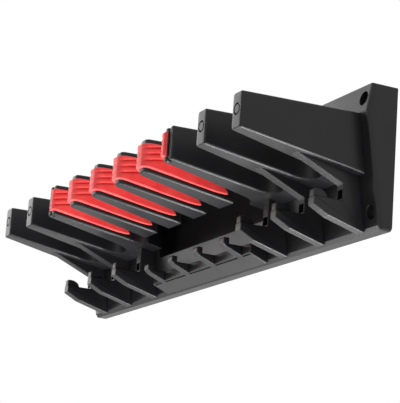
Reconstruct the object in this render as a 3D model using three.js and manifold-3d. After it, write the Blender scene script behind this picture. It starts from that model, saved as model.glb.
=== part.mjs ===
// A wall rack that hangs clamps and pliers: a hollow back body, ten tapered arms in a row, hook plates
// under the outer arms, a rail of small hooks in the middle, and soft grips on the six middle arms.
// Millimetres, +Z up. The wall is the plane y = 0, and the arms reach towards -Y.
// "Depth" is the distance from the wall, so y = -depth.
import * as THREE from "three";
import { mergeVertices } from "three/addons/utils/BufferGeometryUtils.js";
import Module from "manifold-3d";

const wasm = await Module();
wasm.setup();

// Back body: a shell, open towards the wall, with a front that leans out to a ridge
const BODY_END_MARGIN = 19.5;
const BODY_HEIGHT = 82.6;
const BODY_WALL = 3;
const RIDGE_HEIGHT = 66.7;
const RIDGE_DEPTH = 18.9;
const CROWN_DEPTH = 16.1;
const FOOT_DEPTH = 8.3;
const FOOT_HEIGHT = 2.5;
const FOOT_CHAMFER = 1.8;
const BODY_END_ROUND = 2.4;
const BODY_END_ROUND_STEPS = 4;
const RIB_THICKNESS = 2.2;
const MIDDLE_RIB_THICKNESS = 8;

// Recess in the middle of the front, between the two inner hook plates
const RECESS_BOTTOM = 26.7;
const RECESS_TOP = 58;
const RECESS_FLOOR_DEPTH = 2.6;
const RECESS_WALL = 2.4;
const RECESS_SIDE_MARGIN = 1;

// Wall screws: a head recess in front, a shank hole behind it, inside a boss
const SCREW_END_MARGIN = 7.5;
const SCREW_LOW_HEIGHT = 10.8;
const SCREW_SPACING_Z = 63.8;
const SCREW_HEAD_DIAMETER = 8.4;
const SCREW_SHANK_DIAMETER = 5;
const SCREW_SEAT_DEPTH = 3;
const SCREW_BOSS_DIAMETER = 13.4;

// Arms: the width and height shrink from the wall to the tip, and the top is level
const INNER_ARMS = 6;
const OUTER_ARMS_PER_SIDE = 2;
const INNER_PITCH = 36.6;
const OUTER_PITCH = 43;
const ARM_LENGTH = 90;
const ARM_TIP_WIDTH = 10.4;
const ARM_WALL_WIDTH = 24.1;
const ARM_TIP_HEIGHT = 20.7;
const ARM_WALL_HEIGHT = 36.8;
const ARM_EDGE_CHAMFER = 1.2;
const ARM_TIP_RADIUS = 0.8;
const GRIPPED_TIP_RADIUS = 3;
const LEAST_TIP_RADIUS = 0.2;
const TIP_ARC_STEPS = 4;
const ARM_SHELL = 3.4;
const SLOT_END_DEPTH = 24.5;
const SLOT_ARC_STEPS = 10;
const ROOT_STEP_DEPTH = 31;

// Hook plates under the three outer arms of each side
const PLATE_THICKNESS = 7.1;
const PLATE_BEVEL = 0.6;
const PLATE_FOOT_HEIGHT = 2.1;
const HOOK_KNEE_DEPTH = 31.1;
const HOOK_KNEE_HEIGHT = 7;
const HOOK_NOSE_DEPTH = 40.6;
const HOOK_NOSE_HEIGHT = 11.9;
const HOOK_FLOOR_HEIGHT = 16.8;
const HOOK_LIP_HEIGHT = 4.2;
const HOOK_LIP_LENGTH = 6.4;
const HOOK_LIP_RADIUS = 2.4;
const HOOK_LIP_SIDE_STEP = 0.9;
const MOUTH_WALL_DEPTH = 22.6;
const BRACE_ROOT_HEIGHT = 7.7429;
const BRACE_START_DEPTH = 53.5;
const WINDOW_HEIGHT = 5.4;
const WINDOW_SILL = 1.2;
const WINDOW_SIDE_WALL = 0.9;

// Rail of small hooks in the middle, low on the front
const RAIL_WIDTH = 140;
const RAIL_DEPTH = 20;
const RAIL_TOP_HEIGHT = 11.6;
const RAIL_FOOT_HEIGHT = 1.9;
const RAIL_UNDERSIDE_RISE = 0.295;
const SMALL_HOOKS = 4;
const SMALL_HOOK_THICKNESS = 6.6;
const SMALL_HOOK_DEPTH = 32.6;
const SMALL_KNEE_LENGTH = 2.6;
const SMALL_KNEE_RISE = 2.2;
const SMALL_LIP_HEIGHT = 3.8;
const SMALL_LIP_LENGTH = 4;
const SMALL_HOOK_BEVEL = 0.5;

// Soft grips: a ribbed bulb round the tip and a tongue along each side
const GRIP_REBATE = 1.3;
const GRIP_PROUD = 1.1;
const GRIP_NOSE = 1.6;
const GRIP_BULB_LENGTH = 18;
const GRIP_BULB_TOP_MARGIN = 2.2;
const GRIP_BOTTOM_MARGIN = 2.8;
const GRIP_SHOULDER_LENGTH = 10;
const GRIP_TONGUE_HEIGHT = 10.5;
const GRIP_TONGUE_END_HEIGHT = 5.4;
const GRIP_TONGUE_END_DEPTH = 35;
const GRIP_SHOULDER_BEND = 2;
const GRIP_RIBS = 3;
const GRIP_RIB_HEIGHT = 0.7;
const GRIP_RIB_WIDTH = 2.6;
const GRIP_RIB_PITCH = 3.9;
const GRIP_TOP_RIB_DROP = 2.1;
const GRIP_RIB_LENGTH = 15;
const HALF_GRIP_OFFSET = 0.8;
const HALF_GRIP_GROOVE_WIDTH = 2.4;
const HALF_GRIP_GROOVE_DEPTH = 2.6;

// Round mark moulded into the tips of the four plain arms
const TIP_RING_DIAMETER = 7;
const TIP_RING_GROOVE = 1;
const TIP_RING_DEPTH = 0.8;
const TIP_RING_ABOVE_TIP_FOOT = 11;

// Clearances
const SEAT_GAP = 0.3;
const CUT_PAST = 4;

// Facets
const ROUND_SIDES = 24;
const CURVE_STEPS = 6;
const MERGE_DISTANCE = 1e-4;

// Places worked out from the sizes above
const UNDERSIDE_SLOPE = (ARM_WALL_HEIGHT - ARM_TIP_HEIGHT) / ARM_LENGTH;
const ARM_SIDE_TAPER = (ARM_WALL_WIDTH - ARM_TIP_WIDTH) / 2 / ARM_LENGTH;
const FRONT_LEAN = (RIDGE_DEPTH - FOOT_DEPTH) / (RIDGE_HEIGHT - FOOT_HEIGHT);
const ORIGIN_HEIGHT = SCREW_LOW_HEIGHT + SCREW_SPACING_Z / 2;
const INNER_SPAN = ((INNER_ARMS - 1) / 2) * INNER_PITCH;
const BODY_WIDTH = 2 * (INNER_SPAN + OUTER_ARMS_PER_SIDE * OUTER_PITCH + BODY_END_MARGIN);
const SCREW_SPACING_X = BODY_WIDTH - 2 * SCREW_END_MARGIN;
const ARM_HOLLOW_WIDTH = ARM_WALL_WIDTH - 2 * ARM_SHELL;
const RECESS_HALF_WIDTH = INNER_SPAN - ARM_HOLLOW_WIDTH / 2 - RECESS_WALL - RECESS_SIDE_MARGIN;

const frontDepth = (z) => FOOT_DEPTH + (z - FOOT_HEIGHT) * FRONT_LEAN;
const undersideHeight = (depth) => RIDGE_HEIGHT - ARM_WALL_HEIGHT + depth * UNDERSIDE_SLOPE;
const sideHalfWidth = (depth) => ARM_WALL_WIDTH / 2 - depth * ARM_SIDE_TAPER;
const railUnderside = (depth) => RAIL_FOOT_HEIGHT + (depth - FOOT_DEPTH) * RAIL_UNDERSIDE_RISE;

const BLACK_PLASTIC = { color: 0x2a2a2c, roughness: 0.48, metalness: 0 };
const RED_RUBBER = { color: 0xd8272b, roughness: 0.55, metalness: 0 };

// A closed three.js geometry as a solid for joining and cutting, without its zero-area triangles.
function solid(geometry) {
  const bare = geometry.clone();
  bare.deleteAttribute("normal");
  bare.deleteAttribute("uv");
  const merged = mergeVertices(bare, MERGE_DISTANCE);
  const index = merged.index.array;
  const kept = [];
  for (let i = 0; i < index.length; i += 3) {
    const [a, b, c] = [index[i], index[i + 1], index[i + 2]];
    if (a !== b && b !== c && c !== a) kept.push(a, b, c);
  }
  const vertProperties = new Float32Array(merged.attributes.position.array);
  return new wasm.Manifold(new wasm.Mesh({ numProp: 3, vertProperties, triVerts: new Uint32Array(kept) }));
}

// A finished solid as a flat-shaded three.js geometry.
function geometryOf(body) {
  const mesh = body.getMesh();
  const indexed = new THREE.BufferGeometry();
  indexed.setAttribute("position", new THREE.BufferAttribute(new Float32Array(mesh.vertProperties), 3));
  indexed.setIndex(new THREE.BufferAttribute(new Uint32Array(mesh.triVerts), 1));
  const flat = indexed.toNonIndexed();
  flat.computeVertexNormals();
  return flat;
}

// A side outline in (depth, height) carried along X from one x to the other, with bevelled end edges.
function sidePrism(outline, fromX, toX, bevel = 0, bevelSteps = 1) {
  const geometry = new THREE.ExtrudeGeometry(outline, {
    depth: toX - fromX - 2 * bevel,
    bevelEnabled: bevel > 0,
    bevelSize: bevel,
    bevelThickness: bevel,
    bevelOffset: -bevel,
    bevelSegments: bevelSteps,
    curveSegments: CURVE_STEPS,
  });
  const depthAxis = new THREE.Vector3(0, -1, 0);
  const heightAxis = new THREE.Vector3(0, 0, 1);
  const widthAxis = new THREE.Vector3(-1, 0, 0);
  geometry.applyMatrix4(new THREE.Matrix4().makeBasis(depthAxis, heightAxis, widthAxis));
  geometry.translate(toX - bevel, 0, 0);
  return solid(geometry);
}

function polygon(points) {
  return new THREE.Shape(points.map(([depth, height]) => new THREE.Vector2(depth, height)));
}

// A plain block between two depths, heights and x places.
function block(fromX, toX, fromDepth, toDepth, fromZ, toZ) {
  const geometry = new THREE.BoxGeometry(toX - fromX, toDepth - fromDepth, toZ - fromZ);
  geometry.translate((fromX + toX) / 2, -(fromDepth + toDepth) / 2, (fromZ + toZ) / 2);
  return solid(geometry);
}

// A round bar square to the wall.
function wallBar(x, z, diameter, fromDepth, toDepth) {
  const radius = diameter / 2;
  const geometry = new THREE.CylinderGeometry(radius, radius, toDepth - fromDepth, ROUND_SIDES);
  geometry.translate(x, -(fromDepth + toDepth) / 2, z);
  return solid(geometry);
}

// Closed skin through rings of points, from the tip towards the wall, with a fan over each end ring.
function loft(rings) {
  const count = rings[0].length;
  const positions = rings.flat(2);
  const index = [];
  for (let r = 0; r + 1 < rings.length; r += 1) {
    for (let p = 0; p < count; p += 1) {
      const a = r * count + p;
      const b = r * count + ((p + 1) % count);
      index.push(a, b + count, b, a, a + count, b + count);
    }
  }
  const last = (rings.length - 1) * count;
  for (let p = 1; p + 1 < count; p += 1) {
    index.push(0, p, p + 1, last, last + p + 1, last + p);
  }
  const geometry = new THREE.BufferGeometry();
  geometry.setAttribute("position", new THREE.Float32BufferAttribute(positions, 3));
  geometry.setIndex(index);
  return solid(geometry);
}

// The round end of the slot beside an arm: an arc that is tangent to both tapered sides.
function slotEnd(pitch) {
  const slant = Math.atan(ARM_SIDE_TAPER);
  const halfGapAtWall = pitch / 2 - ARM_WALL_WIDTH / 2;
  const centreDepth = (SLOT_END_DEPTH + halfGapAtWall * Math.cos(slant)) / (1 - Math.sin(slant));
  const radius = centreDepth - SLOT_END_DEPTH;
  return { pitch, centreDepth, radius, tangentDepth: centreDepth + radius * Math.sin(slant) };
}

// Half width of an arm on one side at a depth: its taper, then the arc into the next arm, or no arc at all.
function halfWidth(depth, slot) {
  if (!slot || depth >= slot.tangentDepth) return sideHalfWidth(depth);
  if (depth <= SLOT_END_DEPTH) return slot.pitch / 2;
  const along = depth - slot.centreDepth;
  return slot.pitch / 2 - Math.sqrt(Math.max(0, slot.radius ** 2 - along ** 2));
}

// How much of the edge chamfer is left on a side: all on the taper, none where two arms meet.
function chamferShare(depth, slot) {
  if (!slot || depth >= slot.tangentDepth) return 1;
  return Math.max(0, (depth - SLOT_END_DEPTH) / (slot.tangentDepth - SLOT_END_DEPTH));
}

function slotDepths(slot) {
  if (!slot) return [];
  const depths = [slot.tangentDepth];
  const start = -Math.atan(ARM_SIDE_TAPER);
  for (let step = 1; step <= SLOT_ARC_STEPS; step += 1) {
    const angle = start + ((Math.PI / 2 - start) * step) / SLOT_ARC_STEPS;
    depths.push(slot.centreDepth - slot.radius * Math.sin(angle));
  }
  return depths;
}

// One ring round an arm at a depth: a rectangle with chamfered corners, wider towards a slot end.
function armRing(arm, depth, bottom, grow, chamfer) {
  const left = arm.x - halfWidth(depth, arm.leftSlot) - grow;
  const right = arm.x + halfWidth(depth, arm.rightSlot) + grow;
  const leftCut = chamfer * chamferShare(depth, arm.leftSlot);
  const rightCut = chamfer * chamferShare(depth, arm.rightSlot);
  const top = RIDGE_HEIGHT;
  const corners = [
    [left + leftCut, bottom],
    [right - rightCut, bottom],
    [right, bottom + rightCut],
    [right, top - rightCut],
    [right - rightCut, top],
    [left + leftCut, top],
    [left, top - leftCut],
    [left, bottom + leftCut],
  ];
  return corners.map(([x, z]) => [x, -depth, z]);
}

// How far a tip's sides draw in at a depth: a quarter circle in plan that ends at the tip.
function tipInset(depth, endDepth, radius) {
  const along = Math.max(0, depth - (endDepth - radius));
  return radius - Math.sqrt(Math.max(0, radius ** 2 - along ** 2));
}

function tipDepths(endDepth, radius) {
  const steps = Array.from({ length: TIP_ARC_STEPS + 1 }, (_, step) => step / TIP_ARC_STEPS);
  return steps.map((share) => endDepth - radius + radius * Math.sin((share * Math.PI) / 2));
}

// The outside of an arm from its tip to the wall.
function armSkin(arm) {
  const depths = [0, ...slotDepths(arm.leftSlot), ...slotDepths(arm.rightSlot)];
  depths.push(...tipDepths(ARM_LENGTH, arm.tipRadius));
  depths.sort((a, b) => b - a);
  const rings = depths.map((depth) => {
    const bottom = undersideHeight(depth) + tipInset(depth, ARM_LENGTH, ARM_TIP_RADIUS);
    return armRing(arm, depth, bottom, -tipInset(depth, ARM_LENGTH, arm.tipRadius), ARM_EDGE_CHAMFER);
  });
  return loft(rings);
}

// A tapered bar inside or outside an arm's sides, from below its underside up to the ridge.
function armBar(arm, grow, endDepth) {
  const bar = { ...arm, leftSlot: null, rightSlot: null };
  const low = undersideHeight(0) - CUT_PAST;
  const radius = Math.max(LEAST_TIP_RADIUS, arm.tipRadius + grow);
  const depths = [...tipDepths(endDepth, radius).reverse(), 0];
  return loft(depths.map((depth) => armRing(bar, depth, low, grow - tipInset(depth, endDepth, radius), 0)));
}

// The hollow of an arm. It opens into the body, or into the recess on the inner arms.
function armHollow(arm) {
  const bar = { ...arm, leftSlot: null, rightSlot: null };
  const rings = [ARM_LENGTH - ARM_SHELL, 0].map((depth) => {
    const ring = armRing(bar, depth, undersideHeight(depth) + ARM_SHELL, -ARM_SHELL, 0);
    return ring.map(([x, y, z]) => [x, y, Math.min(z, RIDGE_HEIGHT - ARM_SHELL)]);
  });
  return loft(rings);
}

// The body's outside, grown forward by a gap, as the tool that fits pieces to its front.
function bodyOutline(grow) {
  return polygon([
    [0, 0],
    [FOOT_DEPTH - FOOT_CHAMFER + grow, 0],
    [FOOT_DEPTH + grow, FOOT_HEIGHT],
    [RIDGE_DEPTH + grow, RIDGE_HEIGHT],
    [CROWN_DEPTH + grow, BODY_HEIGHT],
    [0, BODY_HEIGHT],
  ]);
}

function bodyHollow() {
  const low = BODY_WALL;
  const high = BODY_HEIGHT - BODY_WALL;
  const outline = polygon([
    [-CUT_PAST, low],
    [frontDepth(low) - BODY_WALL, low],
    [RIDGE_DEPTH - BODY_WALL, RIDGE_HEIGHT],
    [CROWN_DEPTH - BODY_WALL, high],
    [-CUT_PAST, high],
  ]);
  return sidePrism(outline, -BODY_WIDTH / 2 + BODY_WALL, BODY_WIDTH / 2 - BODY_WALL);
}

// Every arm from left to right, with its slots. Only the six inner arms carry grips.
function armPlan() {
  const arms = [];
  const total = INNER_ARMS + 2 * OUTER_ARMS_PER_SIDE;
  for (let i = 0; i < total; i += 1) {
    const fromInner = i - OUTER_ARMS_PER_SIDE;
    const inner = Math.min(Math.max(fromInner, 0), INNER_ARMS - 1);
    const outer = fromInner - inner;
    const x = -INNER_SPAN + inner * INNER_PITCH + outer * OUTER_PITCH;
    const pitchTo = (next) => (next > 0 && next < INNER_ARMS ? INNER_PITCH : OUTER_PITCH);
    const overRecess = fromInner > 0 && fromInner < INNER_ARMS - 1;
    const sides = gripSides(fromInner);
    arms.push({
      name: `arm_${String(i + 1).padStart(2, "0")}`,
      x,
      leftSlot: i > 0 ? slotEnd(pitchTo(fromInner)) : null,
      rightSlot: i + 1 < total ? slotEnd(pitchTo(fromInner + 1)) : null,
      overRecess,
      gripSides: sides,
      tipRadius: sides === "both" ? GRIPPED_TIP_RADIUS : ARM_TIP_RADIUS,
      braced: fromInner < 0 || fromInner >= INNER_ARMS,
    });
  }
  return arms;
}

// Which sides of an inner arm carry a grip: the first and last face only their inner neighbours.
function gripSides(fromInner) {
  if (fromInner < 0 || fromInner >= INNER_ARMS) return null;
  if (fromInner === 0) return "right";
  return fromInner === INNER_ARMS - 1 ? "left" : "both";
}

const gripFloor = (depth) => undersideHeight(depth) + GRIP_BOTTOM_MARGIN;

// Side outline of a grip: the bulb at the tip, a curved shoulder, and the tongue with its round end.
function gripOutline(grow) {
  const front = ARM_LENGTH + GRIP_NOSE;
  const bulbBack = ARM_LENGTH - GRIP_BULB_LENGTH;
  const bulbTop = RIDGE_HEIGHT - GRIP_BULB_TOP_MARGIN + grow;
  const shoulder = bulbBack - GRIP_SHOULDER_LENGTH;
  const shoulderTop = gripFloor(shoulder) + GRIP_TONGUE_HEIGHT + grow;
  const endTop = gripFloor(GRIP_TONGUE_END_DEPTH) + GRIP_TONGUE_END_HEIGHT + grow;
  const endRadius = GRIP_TONGUE_END_HEIGHT / 2 + grow;
  const endCentre = GRIP_TONGUE_END_DEPTH + GRIP_TONGUE_END_HEIGHT / 2;
  const outline = new THREE.Shape();
  outline.moveTo(front + grow, gripFloor(front) - grow);
  outline.lineTo(front + grow, bulbTop);
  outline.lineTo(bulbBack, bulbTop);
  outline.bezierCurveTo(
    bulbBack - GRIP_SHOULDER_LENGTH / 2,
    bulbTop,
    shoulder + GRIP_SHOULDER_BEND,
    shoulderTop + GRIP_SHOULDER_BEND,
    shoulder,
    shoulderTop,
  );
  outline.lineTo(endCentre, endTop);
  outline.absarc(endCentre, endTop - endRadius, endRadius, Math.PI / 2, (Math.PI * 3) / 2, false);
  outline.closePath();
  return outline;
}

// Keeps the side or sides of an arm that carry a grip.
function gripSideBlock(arm, grow) {
  const reach = INNER_PITCH / 2;
  const fromX = arm.gripSides === "right" ? HALF_GRIP_OFFSET - grow : -reach;
  const toX = arm.gripSides === "left" ? -HALF_GRIP_OFFSET + grow : reach;
  return block(arm.x + fromX, arm.x + toX, 0, ARM_LENGTH + CUT_PAST * 2, 0, BODY_HEIGHT);
}

function gripPrism(arm, grow) {
  const reach = INNER_PITCH / 2;
  return sidePrism(gripOutline(grow), arm.x - reach, arm.x + reach).intersect(gripSideBlock(arm, grow));
}

function makeGrip(arm) {
  const core = armBar(arm, SEAT_GAP - GRIP_REBATE, ARM_LENGTH - GRIP_REBATE + SEAT_GAP);
  const space = gripPrism(arm, 0);
  let grip = space.intersect(armBar(arm, GRIP_PROUD, ARM_LENGTH + GRIP_NOSE));
  const ribBar = armBar(arm, GRIP_PROUD + GRIP_RIB_HEIGHT, ARM_LENGTH + GRIP_NOSE);
  const topRib = RIDGE_HEIGHT - GRIP_BULB_TOP_MARGIN - GRIP_TOP_RIB_DROP;
  const reach = INNER_PITCH / 2;
  const ribFront = ARM_LENGTH + GRIP_NOSE;
  for (let i = 0; i < GRIP_RIBS; i += 1) {
    const z = topRib - i * GRIP_RIB_PITCH;
    const band = block(
      arm.x - reach,
      arm.x + reach,
      ribFront - GRIP_RIB_LENGTH,
      ribFront,
      z - GRIP_RIB_WIDTH / 2,
      z + GRIP_RIB_WIDTH / 2,
    );
    grip = grip.add(band.intersect(ribBar).intersect(space));
  }
  return grip.subtract(core);
}

// The rebate that a grip sits in, cut from the arm.
function gripRebate(arm) {
  return gripPrism(arm, SEAT_GAP).subtract(armBar(arm, -GRIP_REBATE, ARM_LENGTH - GRIP_REBATE));
}

function makeArm(arm, bodyCut) {
  let body = armSkin(arm).subtract(bodyCut).subtract(armHollow(arm));
  if (arm.overRecess) {
    const step = block(
      arm.x - arm.leftSlot.pitch,
      arm.x + arm.rightSlot.pitch,
      0,
      ROOT_STEP_DEPTH,
      0,
      RECESS_TOP,
    );
    body = body.subtract(step);
  }
  if (arm.gripSides === "both") return body.subtract(gripRebate(arm));
  if (arm.gripSides) return body.subtract(gripRebate(arm)).subtract(halfGripGroove(arm));
  return body.subtract(tipRing(arm));
}

// The upright groove in a tip, beside the edge of a half grip.
function halfGripGroove(arm) {
  const near = -HALF_GRIP_OFFSET - SEAT_GAP;
  const far = near + HALF_GRIP_GROOVE_WIDTH;
  const [fromX, toX] = arm.gripSides === "left" ? [near, far] : [-far, -near];
  const floor = ARM_LENGTH - HALF_GRIP_GROOVE_DEPTH;
  return block(arm.x + fromX, arm.x + toX, floor, ARM_LENGTH + CUT_PAST, 0, BODY_HEIGHT);
}

// The ring-shaped groove in the tip of a plain arm.
function tipRing(arm) {
  const z = undersideHeight(ARM_LENGTH) + TIP_RING_ABOVE_TIP_FOOT;
  const floor = ARM_LENGTH - TIP_RING_DEPTH;
  const inner = TIP_RING_DIAMETER - 2 * TIP_RING_GROOVE;
  const disc = wallBar(arm.x, z, TIP_RING_DIAMETER, floor, ARM_LENGTH + CUT_PAST);
  return disc.subtract(wallBar(arm.x, z, inner, 0, ARM_LENGTH + 2 * CUT_PAST));
}

// Side outline of a hook plate: the hook with its lip, the mouth, and the brace up to the arm's underside.
function plateOutline(braced) {
  const lipTop = HOOK_FLOOR_HEIGHT + HOOK_LIP_HEIGHT;
  const lipBack = HOOK_NOSE_DEPTH - HOOK_LIP_LENGTH;
  const seatHeight = (depth) => undersideHeight(depth) - SEAT_GAP;
  const rootTop = seatHeight(frontDepth(undersideHeight(FOOT_DEPTH)));
  const outline = new THREE.Shape();
  outline.moveTo(frontDepth(PLATE_FOOT_HEIGHT) + SEAT_GAP, PLATE_FOOT_HEIGHT);
  outline.lineTo(HOOK_KNEE_DEPTH, HOOK_KNEE_HEIGHT);
  outline.lineTo(HOOK_NOSE_DEPTH, HOOK_NOSE_HEIGHT);
  outline.lineTo(HOOK_NOSE_DEPTH, lipTop - HOOK_LIP_RADIUS);
  const lipCentre = [HOOK_NOSE_DEPTH - HOOK_LIP_RADIUS, lipTop - HOOK_LIP_RADIUS];
  outline.absarc(...lipCentre, HOOK_LIP_RADIUS, 0, Math.PI / 2, false);
  outline.lineTo(lipBack, lipTop);
  outline.lineTo(lipBack, HOOK_FLOOR_HEIGHT);
  outline.lineTo(MOUTH_WALL_DEPTH, HOOK_FLOOR_HEIGHT);
  if (braced) {
    outline.lineTo(MOUTH_WALL_DEPTH, undersideHeight(MOUTH_WALL_DEPTH) - BRACE_ROOT_HEIGHT);
    outline.lineTo(BRACE_START_DEPTH, seatHeight(BRACE_START_DEPTH));
  } else {
    outline.lineTo(MOUTH_WALL_DEPTH, seatHeight(MOUTH_WALL_DEPTH));
  }
  outline.lineTo(frontDepth(rootTop) + SEAT_GAP, rootTop);
  outline.closePath();
  return outline;
}

// The window behind a hook's lip, through the plate and the front of the body.
function hookWindow(arm) {
  const half = PLATE_THICKNESS / 2 - WINDOW_SIDE_WALL;
  const sill = HOOK_FLOOR_HEIGHT + WINDOW_SILL;
  const front = MOUTH_WALL_DEPTH + CUT_PAST;
  return block(arm.x - half, arm.x + half, BODY_WALL, front, sill, sill + WINDOW_HEIGHT);
}

function makePlate(arm) {
  const half = PLATE_THICKNESS / 2;
  let plate = sidePrism(plateOutline(arm.braced), arm.x - half, arm.x + half, PLATE_BEVEL);
  const lipBack = HOOK_NOSE_DEPTH - HOOK_LIP_LENGTH;
  const past = HOOK_NOSE_DEPTH + CUT_PAST;
  const lipTop = HOOK_FLOOR_HEIGHT + HOOK_LIP_HEIGHT;
  for (const side of [-1, 1]) {
    const middle = arm.x + side * half;
    const reach = HOOK_LIP_SIDE_STEP;
    plate = plate.subtract(block(middle - reach, middle + reach, lipBack, past, HOOK_FLOOR_HEIGHT, lipTop));
  }
  return plate.subtract(hookWindow(arm));
}

function makeRail() {
  const outline = polygon([
    [frontDepth(RAIL_FOOT_HEIGHT) + SEAT_GAP, RAIL_FOOT_HEIGHT],
    [RAIL_DEPTH, railUnderside(RAIL_DEPTH)],
    [RAIL_DEPTH, RAIL_TOP_HEIGHT],
    [frontDepth(RAIL_TOP_HEIGHT) + SEAT_GAP, RAIL_TOP_HEIGHT],
  ]);
  return sidePrism(outline, -RAIL_WIDTH / 2, RAIL_WIDTH / 2);
}

function makeSmallHook(x) {
  const lipTop = RAIL_TOP_HEIGHT + SMALL_LIP_HEIGHT;
  const knee = SMALL_HOOK_DEPTH - SMALL_KNEE_LENGTH;
  const outline = polygon([
    [RAIL_DEPTH, railUnderside(RAIL_DEPTH)],
    [knee, railUnderside(knee)],
    [SMALL_HOOK_DEPTH, railUnderside(knee) + SMALL_KNEE_RISE],
    [SMALL_HOOK_DEPTH, lipTop - SMALL_HOOK_BEVEL],
    [SMALL_HOOK_DEPTH - SMALL_HOOK_BEVEL, lipTop],
    [SMALL_HOOK_DEPTH - SMALL_LIP_LENGTH, lipTop],
    [SMALL_HOOK_DEPTH - SMALL_LIP_LENGTH, RAIL_TOP_HEIGHT],
    [RAIL_DEPTH, RAIL_TOP_HEIGHT],
  ]);
  const half = SMALL_HOOK_THICKNESS / 2;
  return sidePrism(outline, x - half, x + half);
}

function screwPlaces() {
  const columns = [-SCREW_SPACING_X / 2, SCREW_SPACING_X / 2];
  const rows = [SCREW_LOW_HEIGHT, SCREW_LOW_HEIGHT + SCREW_SPACING_Z];
  return columns.flatMap((x) => rows.map((z) => [x, z]));
}

// The shell with its ribs, screw bosses and front recess, cut by the hollows that open into it.
function makeBody(arms, plates) {
  const half = BODY_WIDTH / 2;
  const outside = sidePrism(bodyOutline(0), -half, half, BODY_END_ROUND, BODY_END_ROUND_STEPS);
  let body = outside.subtract(bodyHollow());
  const ribPlaces = arms.slice(1).map((arm, i) => (arm.x + arms[i].x) / 2);
  for (const x of ribPlaces) {
    const thickness = x === 0 ? MIDDLE_RIB_THICKNESS : RIB_THICKNESS;
    const rib = block(x - thickness / 2, x + thickness / 2, 0, RIDGE_DEPTH, 0, BODY_HEIGHT);
    body = body.add(rib.intersect(outside));
  }
  const liner = block(
    -RECESS_HALF_WIDTH - RECESS_WALL,
    RECESS_HALF_WIDTH + RECESS_WALL,
    RECESS_FLOOR_DEPTH - RECESS_WALL,
    RIDGE_DEPTH,
    RECESS_BOTTOM - RECESS_WALL,
    RECESS_TOP + RECESS_WALL,
  );
  body = body.add(liner.intersect(outside));
  for (const [x, z] of screwPlaces()) {
    body = body.add(wallBar(x, z, SCREW_BOSS_DIAMETER, 0, RIDGE_DEPTH).intersect(outside));
  }
  const recess = block(
    -RECESS_HALF_WIDTH,
    RECESS_HALF_WIDTH,
    RECESS_FLOOR_DEPTH,
    RIDGE_DEPTH + CUT_PAST,
    RECESS_BOTTOM,
    RECESS_TOP,
  );
  body = body.subtract(recess);
  for (const [x, z] of screwPlaces()) {
    body = body.subtract(wallBar(x, z, SCREW_HEAD_DIAMETER, SCREW_SEAT_DEPTH, RIDGE_DEPTH + CUT_PAST));
    body = body.subtract(wallBar(x, z, SCREW_SHANK_DIAMETER, -CUT_PAST, RIDGE_DEPTH));
  }
  for (const arm of arms.filter((each) => !each.overRecess)) body = body.subtract(armHollow(arm));
  for (const arm of plates) body = body.subtract(hookWindow(arm));
  return body;
}

const rack = new THREE.Group();
rack.name = "clamp_rack";
const pieces = new THREE.Group();
pieces.position.z = -ORIGIN_HEIGHT;
rack.add(pieces);

function addPiece(name, body, finish) {
  const mesh = new THREE.Mesh(geometryOf(body), new THREE.MeshStandardMaterial(finish));
  mesh.name = name;
  pieces.add(mesh);
}

const arms = armPlan();
const plateArms = arms.filter((arm) => arm.braced || arm.gripSides !== "both");
const bodyCut = sidePrism(bodyOutline(SEAT_GAP), -BODY_WIDTH, BODY_WIDTH);

addPiece("back_body", makeBody(arms, plateArms), BLACK_PLASTIC);
arms.forEach((arm) => addPiece(arm.name, makeArm(arm, bodyCut), BLACK_PLASTIC));
plateArms.forEach((arm, i) => addPiece(`hook_plate_${i + 1}`, makePlate(arm), BLACK_PLASTIC));
addPiece("small_hook_rail", makeRail(), BLACK_PLASTIC);
for (let i = 0; i < SMALL_HOOKS; i += 1) {
  const x = (i - (SMALL_HOOKS - 1) / 2) * INNER_PITCH;
  addPiece(`small_hook_${i + 1}`, makeSmallHook(x), BLACK_PLASTIC);
}
arms
  .filter((arm) => arm.gripSides)
  .forEach((arm, i) => addPiece(`grip_${i + 1}`, makeGrip(arm), RED_RUBBER));

export default rack;
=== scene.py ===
"""Looks of a wall rack for clamps and pliers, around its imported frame.

Metres, +Z up. The wall is the plane y = 0 and the arms reach towards -Y, so a depth d lies at y = -d.
"""
from collections import namedtuple

import bmesh
import bpy
import numpy as np
from mathutils import Matrix, Vector


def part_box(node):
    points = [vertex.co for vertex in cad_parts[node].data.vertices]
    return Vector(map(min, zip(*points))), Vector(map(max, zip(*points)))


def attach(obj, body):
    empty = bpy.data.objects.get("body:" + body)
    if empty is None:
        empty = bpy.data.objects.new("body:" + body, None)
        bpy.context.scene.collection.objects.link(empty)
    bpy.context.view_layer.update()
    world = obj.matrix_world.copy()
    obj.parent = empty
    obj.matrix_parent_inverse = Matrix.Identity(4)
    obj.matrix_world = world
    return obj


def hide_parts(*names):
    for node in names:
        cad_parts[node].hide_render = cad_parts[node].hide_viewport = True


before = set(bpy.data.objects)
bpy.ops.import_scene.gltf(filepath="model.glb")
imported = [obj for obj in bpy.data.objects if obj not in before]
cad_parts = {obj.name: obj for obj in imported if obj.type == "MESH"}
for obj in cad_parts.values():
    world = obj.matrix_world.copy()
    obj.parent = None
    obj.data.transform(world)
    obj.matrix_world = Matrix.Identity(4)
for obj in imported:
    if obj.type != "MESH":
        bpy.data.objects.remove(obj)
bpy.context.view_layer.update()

MM = 0.001

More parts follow.
